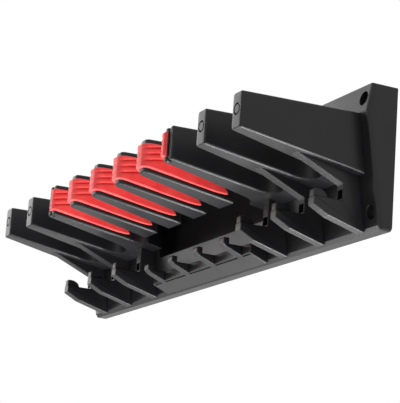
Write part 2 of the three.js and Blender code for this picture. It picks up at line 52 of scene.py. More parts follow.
# The back and the row of arms
INNER_PITCH = 36.6 * MM
OUTER_PITCH = 43 * MM
INNER_ARMS = 6
OUTER_ARMS_PER_SIDE = 2
ARM_COUNT = INNER_ARMS + 2 * OUTER_ARMS_PER_SIDE
ARM_LENGTH = 90 * MM
ARM_TIP_WIDTH = 10.4 * MM
ARM_WALL_WIDTH = 24.1 * MM
ARM_TIP_HEIGHT = 20.7 * MM
ARM_WALL_HEIGHT = 36.8 * MM
ARM_SHELL = 3.4 * MM
ARM_EDGE_RADIUS = 1.5 * MM
ARM_TIP_RADIUS = 0.9 * MM
GRIPPED_TIP_RADIUS = 3 * MM
GRIPPED_TIP_FOOT_RADIUS = 2 * MM
SLOT_END_DEPTH = 24.5 * MM
ROOT_STEP_DEPTH = 31 * MM
RECESS_TOP = 58 * MM
RIDGE_HEIGHT = 66.7 * MM
RIDGE_DEPTH = 18.9 * MM
FOOT_DEPTH = 8.3 * MM
FOOT_HEIGHT = 2.5 * MM
BODY_END_ROUND = 2.4 * MM
BODY_TOP_ROUND_SHARE = 0.35

# The gap between pieces that touch, and how close a mesh's doubled points lie
TOUCH = 0.02 * MM
MERGE_DISTANCE = 0.001 * MM

# The round mark in the tip of a plain arm, and the groove beside a half grip
TIP_RING_RADIUS = 3.5 * MM
TIP_RING_GROOVE = 1.0 * MM
TIP_RING_DEPTH = 0.8 * MM
TIP_RING_RISE = 11 * MM
TIP_GROOVE_FROM = -1.1 * MM
TIP_GROOVE_TO = 1.3 * MM
TIP_GROOVE_DEPTH = 2.6 * MM

# Soft grips
GRIP_PROUD = 1.1 * MM
GRIP_BULB_PROUD = 2.0 * MM
GRIP_LIFT = 0.04 * MM
GRIP_EDGE = 1.1 * MM
GRIP_BOTTOM_MARGIN = 2.8 * MM
GRIP_TOP_MARGIN = 2.8 * MM
GRIP_BULB_BACK = 72 * MM
GRIP_SHOULDER_BACK = 62 * MM
GRIP_TONGUE_HEIGHT = 10.5 * MM
GRIP_TONGUE_END_HEIGHT = 6.0 * MM
GRIP_TONGUE_END = 35 * MM
GRIP_POINT_LENGTH = 12 * MM
GRIP_POINT_BLUNTNESS = 2.2
GRIP_POINT_LEAST = 0.02
GRIP_POINT_RISE = 0.25
GRIP_CREASES = 3
GRIP_ROLL_HEIGHT = 3.85 * MM
GRIP_CREASE_DEPTH = 1.9 * MM
GRIP_CREASE_ARCH = 1.9 * MM
GRIP_CREASE_SHARPNESS = 3
GRIP_FRONT_CREASE = 0.15

# Hook plates, the rail and its small hooks
PLATE_THICKNESS = 7.1 * MM
PLATE_EDGE = 0.6 * MM
PLATE_FOOT_HEIGHT = 0.7 * MM
HOOK_KNEE = (31.1 * MM, 7 * MM)
HOOK_KNEE_RADIUS = 1.5 * MM
HOOK_NOSE = (40.6 * MM, 11.9 * MM)
HOOK_FLOOR_HEIGHT = 16.8 * MM
HOOK_LIP_HEIGHT = 4.5 * MM
HOOK_LIP_LENGTH = 9 * MM
HOOK_LIP_TOP_LENGTH = 2.4 * MM
HOOK_LIP_RADIUS = 2.4 * MM
HOOK_LIP_SIDE_STEP = 0.9 * MM
MOUTH_WALL_DEPTH = 22.6 * MM
BRACE_ROOT_HEIGHT = 7.7429 * MM
BRACE_START_DEPTH = 53.5 * MM
WINDOW_SILL = 1.2 * MM
WINDOW_HEIGHT = 5.4 * MM
WINDOW_BACK_MARGIN = 0.4 * MM
RAIL_WIDTH = 140 * MM
RAIL_DEPTH = 20 * MM
RAIL_TOP_HEIGHT = 11.6 * MM
RAIL_FOOT_HEIGHT = 0.6 * MM
RAIL_UNDERSIDE_RISE = 0.406
RAIL_SLIT_DEPTH = 1.5 * MM
RAIL_SLIT_WIDTH = 1.1 * MM
RAIL_SLIT_MARGIN = 0.5 * MM
RAIL_END = 1.5 * MM
SMALL_HOOKS = 4
SMALL_HOOK_THICKNESS = 6.6 * MM
SMALL_HOOK_DEPTH = 32.6 * MM
SMALL_KNEE_LENGTH = 2.6 * MM
SMALL_KNEE_RISE = 2.2 * MM
SMALL_LIP_HEIGHT = 3.8 * MM
SMALL_LIP_LENGTH = 4 * MM
CORNER_RADIUS = 0.9 * MM

# How finely round forms are drawn, and where shading stays smooth
CORNER_STEPS = 6
EDGE_STEPS = 6
SLOT_ARC_STEPS = 18
LIP_ARCH_STEPS = 9
GRIP_POINT_STEPS = 18
GRIP_SIDE_STEPS = 62
GRIP_FRONT_STEPS = 8
GRIP_HEIGHT_STEPS = 85
GRIP_BACK_STEPS = 7
FLAT_STEPS = 11
FLAT_END_SHARE = 0.02
LEAST_CORNER_SHARE = 0.02
MOST_OF_A_SIDE = 0.45
NEARLY_STRAIGHT = 0.9999
DEPTH_DECIMALS = 7
QUAD_CORNERS = 4
SMOOTH_BELOW = np.radians(38)
BODY_SMOOTH_BELOW = np.radians(8)
EDGE_TURN = np.linspace(0, np.pi / 2, EDGE_STEPS)
FLAT_SHARES = np.concatenate([[FLAT_END_SHARE], np.linspace(0, 1, FLAT_STEPS)[1:-1], [1 - FLAT_END_SHARE]])

# Patterns and edges of the finishes, in millimetres, and where a pattern turns dark and light
PLASTIC_GRAIN_MM = 0.9
PLASTIC_CLOUD_MM = 28
PLASTIC_EDGE_MM = 0.3
BODY_EDGE_MM = 0.45
GRIP_GRAIN_MM = 0.8
GRIP_CLOUD_MM = 9
CLOUD_DARK = 0.3
CLOUD_LIGHT = 0.75

# The photograph's camera, with its place counted from the middle of the wall face's lower edge
CAMERA_PLACE = (0.95837, -0.48391, -0.21066)
CAMERA_HEADING = np.radians(64.2979)
CAMERA_ELEVATION = np.radians(13.7823)
CAMERA_ROLL = np.radians(4.1196)
CAMERA_LENS_MM = 151.58
CAMERA_SENSOR_MM = 36
CAMERA_CLIP_START = 10 * MM

# The floor and the light that comes from all round
FLOOR_REACH = 3
FLOOR_DROP = 0.5
FLOOR_ROUGHNESS = 0.9
FILL_STRENGTH = 0.65

body_low, body_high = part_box("back_body")
BASE_Z = body_low.z
TOP_Z = BASE_Z + RIDGE_HEIGHT
SIDE_TAPER = (ARM_WALL_WIDTH - ARM_TIP_WIDTH) / 2 / ARM_LENGTH
UNDERSIDE_SLOPE = (ARM_WALL_HEIGHT - ARM_TIP_HEIGHT) / ARM_LENGTH
FRONT_LEAN = (RIDGE_DEPTH - FOOT_DEPTH) / (RIDGE_HEIGHT - FOOT_HEIGHT)
INNER_SPAN = (INNER_ARMS - 1) / 2 * INNER_PITCH

Arm = namedtuple("Arm", "node x left_pitch right_pitch grip_sides")
Lamp = namedtuple("Lamp", "name place aim width height watts")

# Soft lamps, each with the point that it faces
LAMPS = (
    Lamp("front_left", (-1.2, -0.5, 0.3), (-0.1, -0.05, 0), width=0.8, height=0.8, watts=4),
    Lamp("below", (0.05, 0.05, BASE_Z - 0.42), (0.05, -0.03, 0), width=0.8, height=0.1, watts=5),
    Lamp("low_left", (-0.35, -0.3, BASE_Z - 0.45), (0, -0.07, 0), width=0.25, height=0.25, watts=2.5),
)


def pitch_after(place):
    """Pitch from the arm at a place to the next one: the inner arms stand closer together."""
    return INNER_PITCH if 0 <= place < INNER_ARMS - 1 else OUTER_PITCH


def gripped_sides(place):
    """Which sides of an arm carry a grip: none on the outer arms, one on the first and last inner arm."""
    if not 0 <= place < INNER_ARMS:
        return None
    return {0: "right", INNER_ARMS - 1: "left"}.get(place, "both")


def arm_plan():
    """All ten arms from left to right, with places counted from the first inner arm.

    An arm's x grows by the inner pitch for each inner place, and by the outer pitch for each outer one.
    """
    arms = []
    for i in range(ARM_COUNT):
        place = i - OUTER_ARMS_PER_SIDE
        inner = min(max(place, 0), INNER_ARMS - 1)
        x = -INNER_SPAN + inner * INNER_PITCH + (place - inner) * OUTER_PITCH
        left = None if i == 0 else pitch_after(place - 1)
        right = None if i == ARM_COUNT - 1 else pitch_after(place)
        arms.append(Arm(f"arm_{i + 1:02d}", x, left, right, gripped_sides(place)))
    return arms


def side_half_width(depth):
    """Half an arm's width: a straight taper with depth."""
    return ARM_WALL_WIDTH / 2 - depth * SIDE_TAPER


def underside(depth):
    """Height of an arm's underside: a straight slope that rises towards the tip."""
    return TOP_Z - ARM_WALL_HEIGHT + depth * UNDERSIDE_SLOPE


def body_front(z):
    """Depth at which a piece touches the body's front at a height: upright at the foot, leaning above it."""
    return FOOT_DEPTH + np.maximum(0, z - BASE_Z - FOOT_HEIGHT) * FRONT_LEAN + TOUCH


def underside_at_front():
    """Height at which an arm's underside meets the body: where depth = body_front(underside(depth))."""
    base_depth = body_front(TOP_Z - ARM_WALL_HEIGHT)
    return underside(base_depth / (1 - FRONT_LEAN * UNDERSIDE_SLOPE))


def slot_end(pitch):
    """Centre depth, radius and tangent depth of the arc that ends a slot and touches both tapered sides."""
    slant = np.arctan(SIDE_TAPER)
    gap = pitch / 2 - ARM_WALL_WIDTH / 2
    centre = (SLOT_END_DEPTH + gap * np.cos(slant)) / (1 - np.sin(slant))
    radius = centre - SLOT_END_DEPTH
    return centre, radius, centre + radius * np.sin(slant)


def half_width(depth, pitch):
    """Half an arm's width on a side with a slot: the taper, then the arc out to half the pitch."""
    taper = side_half_width(depth)
    if pitch is None:
        return taper
    centre, radius, tangent = slot_end(pitch)
    arc = pitch / 2 - np.sqrt(np.maximum(0, radius ** 2 - (depth - centre) ** 2))
    return np.where(depth >= tangent, taper, np.where(depth <= SLOT_END_DEPTH, pitch / 2, arc))


def corner_share(depth, pitch):
    """Share of the edge rounding left on a side: 1 on the taper, and next to 0 where two arms meet."""
    if pitch is None:
        return np.ones_like(depth)
    tangent = slot_end(pitch)[2]
    return np.clip((depth - SLOT_END_DEPTH) / (tangent - SLOT_END_DEPTH), LEAST_CORNER_SHARE, 1)


def tip_inset(depth, radius):
    """How far a face draws in at a depth: a quarter circle that ends at the tip."""
    along = np.maximum(0, depth - (ARM_LENGTH - radius))
    return radius - np.sqrt(np.maximum(0, radius ** 2 - along ** 2))


def tip_depths(radius):
    """Depths along a tip's quarter circle: its centre + radius * sin(angle), even in angle."""
    return ARM_LENGTH - radius + radius * np.sin(EDGE_TURN)


def new_piece(name, skins, material, node):
    """One mesh object at the origin from closed skins of rings, riding on the rack's only body."""
    vertices = []
    faces = []
    for rings in skins:
        faces += ring_faces(sum(map(len, vertices)), *rings.shape[:2])
        vertices.append(rings.reshape(-1, 3))
    mesh = bpy.data.meshes.new(name)
    mesh.from_pydata(np.concatenate(vertices).tolist(), [], faces)
    shape = bmesh.new()
    shape.from_mesh(mesh)
    bmesh.ops.recalc_face_normals(shape, faces=shape.faces)
    shape.to_mesh(mesh)
    shape.free()
    mesh.materials.append(material)
    add_piece(name, mesh, node)


def add_piece(name, mesh, node, smooth_below=SMOOTH_BELOW):
    """A mesh as an object at the origin, in place of a frame node.

    Quads and triangles are shaded smooth where they meet gently, and the larger end faces flat.
    """
    corner_counts = np.empty(len(mesh.polygons), dtype=np.int32)
    mesh.polygons.foreach_get("loop_total", corner_counts)
    mesh.polygons.foreach_set("use_smooth", corner_counts <= QUAD_CORNERS)
    mesh.set_sharp_from_angle(angle=smooth_below)
    piece = bpy.data.objects.new(name, mesh)
    bpy.context.scene.collection.objects.link(piece)
    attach(piece, "root")
    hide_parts(node)


def ring_faces(first, ring_count, point_count):
    """Quads between rings of points, and one face over each end ring, for points counted from first."""
    around = first + np.arange(point_count)
    ring = np.arange(ring_count - 1)[:, None] * point_count
    a = ring + around[None, :]
    b = ring + np.roll(around, -1)[None, :]
    quads = np.stack([a, a + point_count, b + point_count, b], axis=-1).reshape(-1, 4)
    last = (ring_count - 1) * point_count + around[::-1]
    return quads.tolist() + [around.tolist(), last.tolist()]


def rounded_section(left, right, bottom, top, left_radius, right_radius):
    """Rounded rectangles in (x, z), one per row: an arc at each corner, then points along the flat after it.

    A corner point is corner centre + radius * (cos a, sin a), with a over a quarter turn.
    """
    quarter = np.linspace(0, np.pi / 2, CORNER_STEPS)
    corners = (
        (left + left_radius, bottom + left_radius, left_radius, np.pi),
        (right - right_radius, bottom + right_radius, right_radius, 1.5 * np.pi),
        (right - right_radius, top - right_radius, right_radius, 0.0),
        (left + left_radius, top - left_radius, left_radius, 0.5 * np.pi),
    )
    arcs = []
    for centre_x, centre_z, radius, start in corners:
        arc_x = centre_x[:, None] + radius[:, None] * np.cos(start + quarter)
        arc_z = centre_z[:, None] + radius[:, None] * np.sin(start + quarter)
        arcs.append(np.stack([arc_x, arc_z], axis=-1))
    rows = []
    share = FLAT_SHARES[None, :, None]
    for arc, following in zip(arcs, arcs[1:] + arcs[:1]):
        rows.append(arc)
        rows.append(arc[:, -1:] * (1 - share) + following[:, :1] * share)
    return np.concatenate(rows, axis=1)


def at_depth(section, depth):
    """Sections in (x, z) as 3-D rings, each at its own depth."""
    y = np.broadcast_to(-depth[:, None], section.shape[:2])
    return np.stack([section[..., 0], y, section[..., 1]], axis=-1)


def arm_rings(arm, depth, bottom, left=None, right=None):
    """Rings of an arm's outside at given depths, drawn in round the tip.

    A left or a right in X cuts the arm narrower on that side.
    """
    gripped = arm.grip_sides == "both"
    side_in = tip_inset(depth, GRIPPED_TIP_RADIUS if gripped else ARM_TIP_RADIUS)
    foot_in = tip_inset(depth, GRIPPED_TIP_FOOT_RADIUS if gripped else ARM_TIP_RADIUS)
    left = arm.x - half_width(depth, arm.left_pitch) if left is None else np.full_like(depth, left)
    right = arm.x + half_width(depth, arm.right_pitch) if right is None else np.full_like(depth, right)
    left_radius = ARM_EDGE_RADIUS * corner_share(depth, arm.left_pitch)
    right_radius = ARM_EDGE_RADIUS * corner_share(depth, arm.right_pitch)
    top = TOP_Z - tip_inset(depth, ARM_TIP_RADIUS)
    left = left + side_in
    right = right - side_in
    section = rounded_section(left, right, bottom + foot_in, top, left_radius, right_radius)
    return at_depth(section, depth)


def slot_depths(pitch):
    """Depths along a slot's end arc: centre - radius * sin(angle), even in angle."""
    if pitch is None:
        return np.array([])
    centre, radius, _ = slot_end(pitch)
    return centre - radius * np.sin(np.linspace(-np.arctan(SIDE_TAPER), np.pi / 2, SLOT_ARC_STEPS))


def outside_depths(arm, from_depth, to_depth):
    """Depths of an arm's rings between two depths, from the tip back."""
    gripped = arm.grip_sides == "both"
    depth = np.concatenate([
        [from_depth, to_depth],
        slot_depths(arm.left_pitch),
        slot_depths(arm.right_pitch),
        tip_depths(GRIPPED_TIP_RADIUS if gripped else ARM_TIP_RADIUS),
        tip_depths(GRIPPED_TIP_FOOT_RADIUS),
    ])
    depth = np.unique(np.round(depth, DEPTH_DECIMALS))[::-1]
    return depth[(depth < from_depth + TOUCH) & (depth > to_depth - TOUCH)]


def tip_mark_rings(edge_ring):
    """Rings of the round groove in a tip, from the middle out.

    A point is middle + radius * (cos a, sin a), at the angle a of a point on the tip's edge.
    """
    middle = np.array([edge_ring[:, 0].mean(), underside(ARM_LENGTH) + TIP_RING_RISE])
    angle = np.arctan2(edge_ring[:, 2] - middle[1], edge_ring[:, 0] - middle[0])
    circle = np.stack([np.cos(angle), np.sin(angle)], axis=-1)
    inner = TIP_RING_RADIUS - TIP_RING_GROOVE
    steps = ((inner, 0), (inner, TIP_RING_DEPTH), (TIP_RING_RADIUS, TIP_RING_DEPTH), (TIP_RING_RADIUS, 0))
    section = np.stack([middle + radius * circle for radius, _ in steps])
    return at_depth(section, np.array([ARM_LENGTH - sink for _, sink in steps]))


def hollow_rings(arm, depth):
    """Rings of the hollow inside an arm at given depths: its outside less the shell."""
    wall = side_half_width(depth) - ARM_SHELL
    radius = np.full_like(depth, ARM_EDGE_RADIUS)
    bottom = underside(depth) + ARM_SHELL
    ceiling = np.full_like(depth, TOP_Z - ARM_SHELL)
    section = rounded_section(arm.x - wall, arm.x + wall, bottom, ceiling, radius, radius)
    return at_depth(section, depth)


def seated_on_body(ring, lowest):
    """A ring moved back onto the body's front, with heights stretched from the top down to a lowest one."""
    seated = ring.copy()
    bottom = ring[..., 2].min()
    seated[..., 2] = lowest + (ring[..., 2] - bottom) * (TOP_Z - lowest) / (TOP_Z - bottom)
    seated[..., 1] = -body_front(seated[..., 2])
    return seated


def arm_skins(arm):
    """Closed skins of one arm: a hollow shell from the tip back, and what the tip or the root adds to it."""
    over_recess = arm.grip_sides == "both"
    half_gripped = arm.grip_sides in ("left", "right")
    front = ARM_LENGTH - TIP_GROOVE_DEPTH if half_gripped else ARM_LENGTH
    back = ROOT_STEP_DEPTH if over_recess else SLOT_END_DEPTH
    depth = outside_depths(arm, front, back)
    outside = arm_rings(arm, depth, underside(depth))
    hollow_end = ARM_LENGTH - ARM_SHELL - (TIP_GROOVE_DEPTH if half_gripped else 0)
    hollow = hollow_rings(arm, np.array([back, hollow_end]))
    shell = [outside, hollow]
    if not over_recess:
        root = seated_on_body(outside[-1:], underside_at_front())
        mouth = seated_on_body(hollow[:1], hollow[0, :, 2].min())
        shell = [outside, root, mouth, hollow]
    if arm.grip_sides is None:
        shell = [tip_mark_rings(outside[0])] + shell
    skins = [np.concatenate(shell)]
    if half_gripped:
        flip = 1 if arm.grip_sides == "left" else -1
        edges = sorted((arm.x + flip * TIP_GROOVE_FROM, arm.x + flip * TIP_GROOVE_TO))
        depth = outside_depths(arm, ARM_LENGTH, front)
        skins.append(arm_rings(arm, depth, underside(depth), right=edges[0]))
        skins.append(arm_rings(arm, depth, underside(depth), left=edges[1]))
    if over_recess:
        depth = outside_depths(arm, ROOT_STEP_DEPTH, SLOT_END_DEPTH)
        bridge = arm_rings(arm, depth, np.full_like(depth, BASE_Z + RECESS_TOP))
        skins.append(np.concatenate([bridge, seated_on_body(bridge[-1:], BASE_Z + RECESS_TOP)]))
    return skins


def smoothstep(low, high, value):
    """0 below low, 1 above high, and an S-curve between."""
    t = np.clip((value - low) / (high - low), 0, 1)
    return t * t * (3 - 2 * t)


def bulb_share(depth):
    """How far a grip has grown from its tongue, 0, to its bulb, 1: an S-curve over the shoulder."""
    return smoothstep(GRIP_SHOULDER_BACK, GRIP_BULB_BACK, depth)


def grip_path(arm):
    """Plan of a grip: along one side of the arm, round the tip, and back along the mirrored other side.

    A half grip stops at the groove near the middle of the front. Gives points, outward normals and depths.
    The normals are the path's tangents after a quarter turn.
    """
    radius = GRIPPED_TIP_RADIUS if arm.grip_sides == "both" else ARM_TIP_RADIUS
    turn = np.linspace(0, np.pi / 2, GRIP_POINT_STEPS)
    point = GRIP_TONGUE_END + GRIP_POINT_LENGTH * (1 - np.cos(turn))
    straight = np.linspace(point[-1], ARM_LENGTH - radius, GRIP_SIDE_STEPS)[1:-1]
    depth = np.concatenate([point, straight, tip_depths(radius)])
    side = np.stack([side_half_width(depth) - tip_inset(depth, radius), -depth], axis=-1)
    front_end = 0.0 if arm.grip_sides == "both" else -TIP_GROOVE_FROM
    front_x = np.linspace(side[-1, 0], front_end, GRIP_FRONT_STEPS)[1:]
    front = np.stack([front_x, np.full_like(front_x, -ARM_LENGTH)], axis=-1)
    points = np.concatenate([side, front])
    mirror = np.array([-1.0, 1.0])
    if arm.grip_sides == "both":
        points = np.concatenate([points, points[-2::-1] * mirror])
    tangent = np.gradient(points, axis=0)
    tangent /= np.linalg.norm(tangent, axis=1)[:, None]
    normals = np.stack([-tangent[:, 1], tangent[:, 0]], axis=-1)
    if arm.grip_sides == "left":
        points = points * mirror
        normals = normals * mirror
    return points + np.array([arm.x, 0.0]), normals, -points[:, 1]


def grip_edges(depth):
    """Lower and upper edge of a grip at a depth: a tall bulb, an S-curved shoulder, and a narrowing tongue.

    The tongue ends in a point whose height falls by sqrt(1 - t ^ bluntness), with t from 0 to 1 at its end.
    """
    low = underside(depth) + GRIP_BOTTOM_MARGIN
    along = np.clip((depth - GRIP_TONGUE_END) / (GRIP_SHOULDER_BACK - GRIP_TONGUE_END), 0, 1)
    height = GRIP_TONGUE_END_HEIGHT + along * (GRIP_TONGUE_HEIGHT - GRIP_TONGUE_END_HEIGHT)
    bulb = TOP_Z - GRIP_TOP_MARGIN - low
    height = height + bulb_share(depth) * (bulb - height)
    short = np.clip(1 - (depth - GRIP_TONGUE_END) / GRIP_POINT_LENGTH, 0, 1)
    point = np.maximum(GRIP_POINT_LEAST, np.sqrt(1 - short ** GRIP_POINT_BLUNTNESS))
    low = low + GRIP_POINT_RISE * height * (1 - point)
    return low, low + height * point


def grip_creases(depth, z, front):
    """How deep the creases between the rolls are: (1 - distance / half a roll) ^ sharpness.

    Their level lines arch by a half sine along each side, and fade on the shoulder and across the front.
    """
    along = np.clip((ARM_LENGTH - depth) / (ARM_LENGTH - GRIP_SHOULDER_BACK), 0, 1)
    arched_top = TOP_Z - GRIP_TOP_MARGIN + GRIP_CREASE_ARCH * np.sin(np.pi * along)
    level = (arched_top[:, None] - z) / GRIP_ROLL_HEIGHT
    nearest = np.clip(np.round(level), 1, GRIP_CREASES)
    cut = np.clip(1 - 2 * np.abs(level - nearest), 0, 1) ** GRIP_CREASE_SHARPNESS
    fade = bulb_share(depth) * (1 - (1 - GRIP_FRONT_CREASE) * front)
    return GRIP_CREASE_DEPTH * fade[:, None] * cut


def grip_surface(arm):
    """A pad on the arm's sides: plan point + normal * rise, over rows of heights that crowd at both edges.

    The rise is the pad's thickness less its creases, times a quarter circle at every edge.
    """
    plan, normal, depth = grip_path(arm)
    low, high = grip_edges(depth)
    share = 0.5 - 0.5 * np.cos(np.pi * np.linspace(0, 1, GRIP_HEIGHT_STEPS))
    height = (high - low)[:, None]
    z = low[:, None] + height * share[None, :]
    run = np.concatenate([[0.0], np.cumsum(np.linalg.norm(np.diff(plan, axis=0), axis=1))])
    end_gap = np.minimum(run, run[-1] - run)
    to_edge = np.minimum(np.minimum(share, 1 - share)[None, :] * height, end_gap[:, None])
    round_off = np.sqrt(1 - np.clip(1 - to_edge / GRIP_EDGE, 0, 1) ** 2)
    front = np.clip(-normal[:, 1], 0, 1) ** 2
    proud = GRIP_PROUD + (GRIP_BULB_PROUD - GRIP_PROUD) * bulb_share(depth)
    rise = (proud[:, None] - grip_creases(depth, z, front)) * round_off
    back_share = np.linspace(1, 0, GRIP_BACK_STEPS)[1:-1]
    back_z = low[:, None] + height * back_share[None, :]
    rise = np.concatenate([rise + GRIP_LIFT, np.full(back_z.shape, GRIP_LIFT)], axis=1)
    z = np.concatenate([z, back_z], axis=1)
    xy = plan[:, None, :] + normal[:, None, :] * rise[..., None]
    return np.concatenate([xy, z[..., None]], axis=-1)


def rounded_outline(corners):
    """A closed side outline in (depth, z) from corners (depth, z, radius, seated).

    A corner becomes the curve B(t) = (1-t)^2 a + 2t(1-t) corner + t^2 b, from a on the side before it to b
    on the side after it. Seated says that the side after a corner lies on another piece. Gives the points,
    and for each point whether the side after it is seated.
    """
    place = np.array([corner[:2] for corner in corners])
    points = []
    seated = []
    for i, (_, _, radius, mark) in enumerate(corners):
        before = place[i - 1] - place[i]
        after = place[(i + 1) % len(corners)] - place[i]
        shorter = min(np.linalg.norm(before), np.linalg.norm(after))
        before = before / np.linalg.norm(before)
        after = after / np.linalg.norm(after)
        opening = np.arccos(np.clip(before @ after, -1, 1))
        run = min(radius / np.tan(opening / 2), MOST_OF_A_SIDE * shorter) if radius else 0.0
        t = np.linspace(0, 1, CORNER_STEPS if run else 1)[:, None]
        points.append(place[i] + run * ((1 - t) ** 2 * before + t ** 2 * after))
        seated += [False] * (len(t) - 1) + [mark]
    return np.concatenate(points), np.array(seated)


def drawn_in(points, seated, distance):
    """An outline moved inwards by a distance on every side but the seated ones.

    A point moves by own * its side's inward normal + other * the earlier side's. Both are solved so that the
    point comes to lie inside each of its two sides by that side's shift.
    """
    following = np.roll(points, -1, axis=0)
    side = following - points
    side /= np.linalg.norm(side, axis=1)[:, None]
    turn = np.sign(np.sum(points[:, 0] * following[:, 1] - points[:, 1] * following[:, 0]))
    inward = turn * np.stack([-side[:, 1], side[:, 0]], axis=-1)
    shift = np.where(seated, 0.0, distance)
    earlier = np.roll(inward, 1, axis=0)
    earlier_shift = np.roll(shift, 1)
    cosine = np.clip(np.sum(inward * earlier, axis=1), -1, NEARLY_STRAIGHT)[:, None]
    own = (shift[:, None] - cosine * earlier_shift[:, None]) / (1 - cosine ** 2)
    other = (earlier_shift[:, None] - cosine * shift[:, None]) / (1 - cosine ** 2)
    return points + own * inward + other * earlier


def slab(corners, left, right, left_edge, right_edge):
    """An outline carried along X, with quarter-round edges of given radii at its two ends."""
    points, seated = rounded_outline(corners)
    left_turn = EDGE_TURN if left_edge else EDGE_TURN[-1:]
    right_turn = EDGE_TURN[::-1] if right_edge else EDGE_TURN[-1:]
    stations = [(left + left_edge * (1 - np.cos(a)), left_edge * (1 - np.sin(a))) for a in left_turn]
    stations += [(right - right_edge * (1 - np.cos(a)), right_edge * (1 - np.sin(a))) for a in right_turn]
    rings = []
    for x, inset in stations:
        outline = drawn_in(points, seated, inset) if inset else points
        rings.append(np.stack([np.full(len(outline), x), -outline[:, 0], outline[:, 1]], axis=-1))
    return np.stack(rings)


def foot_corner():
    """The corner of a side outline at which the body's front starts to lean."""
    z = BASE_Z + FOOT_HEIGHT
    return (body_front(z), z, 0, True)


def plate_corners(braced, window):
    """Corners of a hook plate seen from the side, without its lip.

    A braced plate reaches forward under its arm. A window is a notch in the back of the hook's mouth.
    """
    floor = BASE_Z + HOOK_FLOOR_HEIGHT
    foot = BASE_Z + PLATE_FOOT_HEIGHT
    top = underside_at_front() - TOUCH
    corners = [
        (body_front(foot), foot, 0, False),
        (HOOK_KNEE[0], BASE_Z + HOOK_KNEE[1], HOOK_KNEE_RADIUS, False),
        (HOOK_NOSE[0], BASE_Z + HOOK_NOSE[1], CORNER_RADIUS, False),
        (HOOK_NOSE[0], floor, CORNER_RADIUS / 2, False),
        (MOUTH_WALL_DEPTH, floor, CORNER_RADIUS / 2, False),
    ]
    if window:
        sill = floor + WINDOW_SILL
        head = sill + WINDOW_HEIGHT
        back = body_front(head) + WINDOW_BACK_MARGIN
        corners += [(MOUTH_WALL_DEPTH, sill, 0, False), (back, sill, 0, False)]
        corners += [(back, head, 0, False), (MOUTH_WALL_DEPTH, head, 0, False)]
    if braced:
        mouth_top = underside(MOUTH_WALL_DEPTH) - BRACE_ROOT_HEIGHT
        corners.append((MOUTH_WALL_DEPTH, mouth_top, CORNER_RADIUS, False))
        corners.append((BRACE_START_DEPTH, underside(BRACE_START_DEPTH) - TOUCH, 0, True))
    else:
        corners.append((MOUTH_WALL_DEPTH, underside(MOUTH_WALL_DEPTH) - TOUCH, 0, True))
    return corners + [(body_front(top), top, 0, True), foot_corner()]


def lip_corners():
    """Corners of the lip on a hook's nose: its top falls to the mouth's floor along a quarter ellipse."""
    floor = BASE_Z + HOOK_FLOOR_HEIGHT
    turn = np.linspace(0, np.pi / 2, LIP_ARCH_STEPS)
    arch_length = HOOK_LIP_LENGTH - HOOK_LIP_TOP_LENGTH
    depth = HOOK_NOSE[0] - HOOK_LIP_TOP_LENGTH - arch_length * np.sin(turn)
    height = floor + HOOK_LIP_HEIGHT * np.cos(turn)
    return [
        (HOOK_NOSE[0], floor, 0, False),
        (HOOK_NOSE[0], floor + HOOK_LIP_HEIGHT, HOOK_LIP_RADIUS, False),
        *((d, z, 0, False) for d, z in zip(depth[:-1], height[:-1])),
        (depth[-1], height[-1], 0, True),
    ]


def plate_skins(x, braced):
    """A hook plate as two cheeks, the windowed middle between them, and the narrower lip on its nose."""
    half = PLATE_THICKNESS / 2
    inner = half - HOOK_LIP_SIDE_STEP
    cheek = plate_corners(braced, False)
    return [
        slab(cheek, x - half, x - inner, PLATE_EDGE, 0),
        slab(plate_corners(braced, True), x - inner, x + inner, 0, 0),
        slab(cheek, x + inner, x + half, 0, PLATE_EDGE),
        slab(lip_corners(), x - inner, x + inner, PLATE_EDGE, PLATE_EDGE),
    ]


def rail_underside(depth):
    """Height of the rail's underside: a straight slope that rises towards the front."""
    return BASE_Z + RAIL_FOOT_HEIGHT + (depth - FOOT_DEPTH) * RAIL_UNDERSIDE_RISE


def rail_corners(slit):
    """Corners of the ledge seen from the side; the slit lies in its underside, close to the front."""
    top = BASE_Z + RAIL_TOP_HEIGHT
    foot = BASE_Z + RAIL_FOOT_HEIGHT
    corners = [(body_front(foot), foot, 0, False)]
    if slit:
        front = RAIL_DEPTH - RAIL_SLIT_MARGIN
        back = front - RAIL_SLIT_WIDTH
        roof = rail_underside(RAIL_DEPTH) + RAIL_SLIT_DEPTH
        corners += [(back, rail_underside(back), 0, False), (back, roof, 0, False)]
        corners += [(front, roof, 0, False), (front, rail_underside(front), 0, False)]
    return corners + [
        (RAIL_DEPTH, rail_underside(RAIL_DEPTH), CORNER_RADIUS, False),
        (RAIL_DEPTH, top, CORNER_RADIUS / 2, False),
        (body_front(top), top, 0, True),
        foot_corner(),
    ]


def small_hook_places():
    """Each small hook's place along X, in line with an arm over the recess."""
    return [(i - (SMALL_HOOKS - 1) / 2) * INNER_PITCH for i in range(SMALL_HOOKS)]


def rail_skins():
    """The ledge that carries the small hooks, in stretches along X.

    Every second stretch has the slit. The ends and the stretches behind the hooks are plain.
    """
    end = RAIL_WIDTH / 2
    half = SMALL_HOOK_THICKNESS / 2
    breaks = [-end, -end + RAIL_END]
    for x in small_hook_places():
        breaks += [x - half, x + half]
    breaks += [end - RAIL_END, end]
    skins = []
    for i, (left, right) in enumerate(zip(breaks, breaks[1:])):
        left_edge = PLATE_EDGE if left == -end else 0
        right_edge = PLATE_EDGE if right == end else 0
        skins.append(slab(rail_corners(i % 2 == 1), left, right, left_edge, right_edge))
    return skins


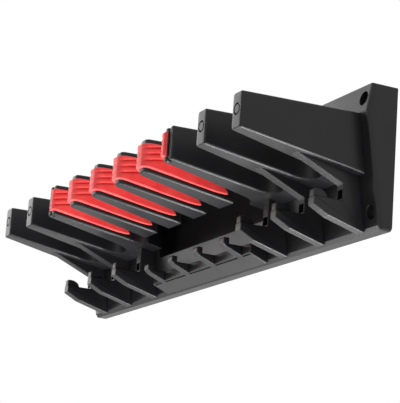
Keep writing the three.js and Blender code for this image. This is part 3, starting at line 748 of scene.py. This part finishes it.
def small_hook_skin(x):
    """A small hook in front of the rail: a bar with a raised lip and a bevelled nose."""
    top = BASE_Z + RAIL_TOP_HEIGHT
    knee = SMALL_HOOK_DEPTH - SMALL_KNEE_LENGTH
    back = RAIL_DEPTH + TOUCH
    lip_back = SMALL_HOOK_DEPTH - SMALL_LIP_LENGTH
    corners = [
        (back, rail_underside(RAIL_DEPTH), 0, False),
        (knee, rail_underside(knee), CORNER_RADIUS, False),
        (SMALL_HOOK_DEPTH, rail_underside(knee) + SMALL_KNEE_RISE, CORNER_RADIUS, False),
        (SMALL_HOOK_DEPTH, top + SMALL_LIP_HEIGHT, CORNER_RADIUS, False),
        (lip_back, top + SMALL_LIP_HEIGHT, CORNER_RADIUS / 2, False),
        (lip_back, top, CORNER_RADIUS / 2, False),
        (back, top, 0, True),
    ]
    return slab(corners, x - SMALL_HOOK_THICKNESS / 2, x + SMALL_HOOK_THICKNESS / 2, PLATE_EDGE, PLATE_EDGE)


def linear(hex_colour):
    """An sRGB hex colour as linear RGBA."""
    channels = np.array([int(hex_colour[i:i + 2], 16) for i in (1, 3, 5)]) / 255
    low = channels / 12.92
    high = ((channels + 0.055) / 1.055) ** 2.4
    return (*np.where(channels <= 0.04045, low, high), 1.0)


def add_node(tree, kind, settings=None, inputs=None):
    """Adds a node, sets its properties, and sets or links its inputs."""
    node = tree.nodes.new(kind)
    for name, value in (settings or {}).items():
        setattr(node, name, value)
    for name, value in (inputs or {}).items():
        if isinstance(value, bpy.types.NodeSocket):
            tree.links.new(value, node.inputs[name])
        else:
            node.inputs[name].default_value = value
    return node


def scale_for(size_mm):
    """Texture scale that repeats once in a size in millimetres."""
    return 1 / (size_mm * MM)


def new_material(name):
    """An empty node material and its tree."""
    material = bpy.data.materials.new(name)
    material.use_nodes = True
    material.node_tree.nodes.clear()
    return material, material.node_tree


def moulded_polypropylene(name, edge_mm):
    """Black polypropylene from a spark-eroded mould: a fine even grain, satin, with softly rounded edges."""
    material, tree = new_material(name)
    place = add_node(tree, "ShaderNodeTexCoord").outputs["Object"]
    # Such a grain is usually about 0.3 mm and is drawn three times as coarse, so that it shows in the render
    grain = add_node(
        tree,
        "ShaderNodeTexNoise",
        inputs={"Vector": place, "Scale": scale_for(PLASTIC_GRAIN_MM), "Detail": 3.0},
    )
    cloud = add_node(
        tree,
        "ShaderNodeTexNoise",
        inputs={"Vector": place, "Scale": scale_for(PLASTIC_CLOUD_MM), "Detail": 3.0},
    )
    tone = add_node(tree, "ShaderNodeValToRGB", inputs={"Fac": cloud.outputs["Fac"]})
    tone.color_ramp.elements[0].position = CLOUD_DARK
    tone.color_ramp.elements[0].color = linear("#18181a")
    tone.color_ramp.elements[1].position = CLOUD_LIGHT
    tone.color_ramp.elements[1].color = linear("#1e1e20")
    rough = add_node(
        tree,
        "ShaderNodeMapRange",
        inputs={
            "Value": cloud.outputs["Fac"],
            "From Min": 0.3,
            "From Max": 0.7,
            "To Min": 0.3,
            "To Max": 0.38,
        },
    )
    edge = add_node(tree, "ShaderNodeBevel", {"samples": 6}, {"Radius": edge_mm * MM})
    bump = add_node(
        tree,
        "ShaderNodeBump",
        inputs={
            "Height": grain.outputs["Fac"],
            "Strength": 0.06,
            "Distance": 0.15 * MM,
            "Normal": edge.outputs["Normal"],
        },
    )
    shader = add_node(
        tree,
        "ShaderNodeBsdfPrincipled",
        inputs={
            "Base Color": tone.outputs["Color"],
            "Roughness": rough.outputs["Result"],
            "IOR": 1.49,
            "Specular IOR Level": 0.3,
            "Normal": bump.outputs["Normal"],
        },
    )
    add_node(tree, "ShaderNodeOutputMaterial", inputs={"Surface": shader.outputs["BSDF"]})
    return material


def soft_elastomer(name):
    """Red thermoplastic elastomer, moulded over the arms: an even, silky red with a slightly waxy sheen."""
    material, tree = new_material(name)
    place = add_node(tree, "ShaderNodeTexCoord").outputs["Object"]
    # Such a grain is usually finer and is drawn as coarse as this, so that it shows in the render
    grain = add_node(
        tree,
        "ShaderNodeTexNoise",
        inputs={"Vector": place, "Scale": scale_for(GRIP_GRAIN_MM), "Detail": 2.0},
    )
    cloud = add_node(
        tree,
        "ShaderNodeTexNoise",
        inputs={"Vector": place, "Scale": scale_for(GRIP_CLOUD_MM), "Detail": 2.0},
    )
    tone = add_node(tree, "ShaderNodeValToRGB", inputs={"Fac": cloud.outputs["Fac"]})
    tone.color_ramp.elements[0].position = CLOUD_DARK
    tone.color_ramp.elements[0].color = linear("#ee3f42")
    tone.color_ramp.elements[1].position = CLOUD_LIGHT
    tone.color_ramp.elements[1].color = linear("#f8554f")
    bump = add_node(
        tree,
        "ShaderNodeBump",
        inputs={"Height": grain.outputs["Fac"], "Strength": 0.1, "Distance": 0.1 * MM},
    )
    shader = add_node(
        tree,
        "ShaderNodeBsdfPrincipled",
        inputs={
            "Base Color": tone.outputs["Color"],
            "Roughness": 0.5,
            "IOR": 1.5,
            "Specular IOR Level": 0.35,
            "Sheen Weight": 0.15,
            "Sheen Roughness": 0.4,
            "Normal": bump.outputs["Normal"],
        },
    )
    add_node(tree, "ShaderNodeOutputMaterial", inputs={"Surface": shader.outputs["BSDF"]})
    return material


def build_arms(arms, plastic):
    """Every arm as its own piece."""
    for arm in arms:
        new_piece(arm.node + "_moulded", arm_skins(arm), plastic, arm.node)


def build_grips(arms, rubber):
    """The six soft grips, from left to right."""
    gripped = [arm for arm in arms if arm.grip_sides]
    for i, arm in enumerate(gripped):
        node = f"grip_{i + 1}"
        new_piece(node + "_moulded", [grip_surface(arm)], rubber, node)


def build_plates(arms, plastic):
    """A hook plate under each arm that isn't over the recess, from left to right."""
    carriers = [arm for arm in arms if arm.grip_sides != "both"]
    for i, arm in enumerate(carriers):
        node = f"hook_plate_{i + 1}"
        skins = plate_skins(arm.x, arm.grip_sides is None)
        new_piece(node + "_moulded", skins, plastic, node)


def build_rail(plastic):
    """The rail and its small hooks, from left to right."""
    new_piece("small_hook_rail_moulded", rail_skins(), plastic, "small_hook_rail")
    for i, x in enumerate(small_hook_places()):
        node = f"small_hook_{i + 1}"
        new_piece(node + "_moulded", [small_hook_skin(x)], plastic, node)


def build_body(plastic):
    """A copy of the body whose ends stay round at the foot, less so at the top, and not at the wall.

    In the end rounding, y becomes 0 near the wall, and a height's distance from the top shrinks to a share.
    """
    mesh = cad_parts["back_body"].data.copy()
    mesh.transform(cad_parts["back_body"].matrix_world)
    shape = bmesh.new()
    shape.from_mesh(mesh)
    bmesh.ops.remove_doubles(shape, verts=shape.verts, dist=MERGE_DISTANCE)
    shape.to_mesh(mesh)
    shape.free()
    place = np.empty(len(mesh.vertices) * 3)
    mesh.vertices.foreach_get("co", place)
    place = place.reshape(-1, 3)
    at_end = np.abs(place[:, 0]) > body_high.x - BODY_END_ROUND - TOUCH
    place[at_end & (place[:, 1] > -BODY_END_ROUND - TOUCH), 1] = 0
    at_top = at_end & (place[:, 2] > body_high.z - BODY_END_ROUND - TOUCH)
    place[at_top, 2] = body_high.z - (body_high.z - place[at_top, 2]) * BODY_TOP_ROUND_SHARE
    mesh.vertices.foreach_set("co", place.ravel())
    mesh.materials.clear()
    mesh.materials.append(plastic)
    add_piece("back_body_moulded", mesh, "back_body", BODY_SMOOTH_BELOW)


def photo_camera():
    """The camera of the photograph: a long lens, low and to the right, looking up at the rack."""
    data = bpy.data.cameras.new("photo_camera")
    data.sensor_fit = "HORIZONTAL"
    data.sensor_width = CAMERA_SENSOR_MM
    data.lens = CAMERA_LENS_MM
    data.clip_start = CAMERA_CLIP_START
    camera = bpy.data.objects.new("photo_camera", data)
    heading = Matrix.Rotation(CAMERA_HEADING, 4, "Z")
    tilt = Matrix.Rotation(np.pi / 2 + CAMERA_ELEVATION, 4, "X")
    roll = Matrix.Rotation(CAMERA_ROLL, 4, "Z")
    place = Vector(CAMERA_PLACE) + Vector((0, 0, BASE_Z))
    camera.matrix_world = Matrix.Translation(place) @ heading @ tilt @ roll
    bpy.context.scene.collection.objects.link(camera)
    bpy.context.scene.camera = camera


def soft_box(lamp):
    """A rectangular area lamp that faces a point, with its width along X."""
    data = bpy.data.lights.new(lamp.name, "AREA")
    data.shape = "RECTANGLE"
    data.energy = lamp.watts
    data.size = lamp.width
    data.size_y = lamp.height
    box = bpy.data.objects.new(lamp.name, data)
    back = (Vector(lamp.place) - Vector(lamp.aim)).normalized()
    across = (Vector((1, 0, 0)) - back * back.x).normalized()
    turn = Matrix((across, back.cross(across), back)).transposed().to_4x4()
    box.matrix_world = Matrix.Translation(lamp.place) @ turn
    bpy.context.scene.collection.objects.link(box)


def white_world():
    """A world that is white to the camera and in reflections, and a dimmer fill light on the object."""
    world = bpy.data.worlds.new("studio_white")
    bpy.context.scene.world = world
    world.use_nodes = True
    tree = world.node_tree
    tree.nodes.clear()
    rays = add_node(tree, "ShaderNodeLightPath").outputs
    mirrored = add_node(
        tree,
        "ShaderNodeMath",
        {"operation": "MAXIMUM"},
        {0: rays["Is Glossy Ray"], 1: rays["Is Transmission Ray"]},
    )
    seen = add_node(
        tree,
        "ShaderNodeMath",
        {"operation": "MAXIMUM"},
        {0: rays["Is Camera Ray"], 1: mirrored.outputs[0]},
    )
    white = add_node(tree, "ShaderNodeBackground", inputs={"Color": (1, 1, 1, 1), "Strength": 1.0})
    fill = add_node(tree, "ShaderNodeBackground", inputs={"Color": (1, 1, 1, 1), "Strength": FILL_STRENGTH})
    mix = add_node(
        tree,
        "ShaderNodeMixShader",
        inputs={"Fac": seen.outputs[0], 1: fill.outputs[0], 2: white.outputs[0]},
    )
    add_node(tree, "ShaderNodeOutputWorld", inputs={"Surface": mix.outputs[0]})


def pale_floor():
    """A plain pale floor well below the rack."""
    mesh = bpy.data.meshes.new("floor")
    level = BASE_Z - FLOOR_DROP
    corners = ((-1, -1), (1, -1), (1, 1), (-1, 1))
    mesh.from_pydata([(x * FLOOR_REACH, y * FLOOR_REACH, level) for x, y in corners], [], [(0, 1, 2, 3)])
    material, tree = new_material("pale_floor")
    shader = add_node(
        tree,
        "ShaderNodeBsdfPrincipled",
        inputs={"Base Color": linear("#f4f4f4"), "Roughness": FLOOR_ROUGHNESS},
    )
    add_node(tree, "ShaderNodeOutputMaterial", inputs={"Surface": shader.outputs["BSDF"]})
    mesh.materials.append(material)
    floor = bpy.data.objects.new("floor", mesh)
    bpy.context.scene.collection.objects.link(floor)


plastic_moulded = moulded_polypropylene("moulded_polypropylene", PLASTIC_EDGE_MM)
plastic_edged = moulded_polypropylene("moulded_polypropylene_edges", BODY_EDGE_MM)
arm_row = arm_plan()
build_arms(arm_row, plastic_moulded)
build_grips(arm_row, soft_elastomer("soft_elastomer"))
build_plates(arm_row, plastic_moulded)
build_rail(plastic_moulded)
build_body(plastic_edged)
photo_camera()
white_world()
pale_floor()
for lamp in LAMPS:
    soft_box(lamp)
bpy.context.scene.view_settings.view_transform = "Standard"
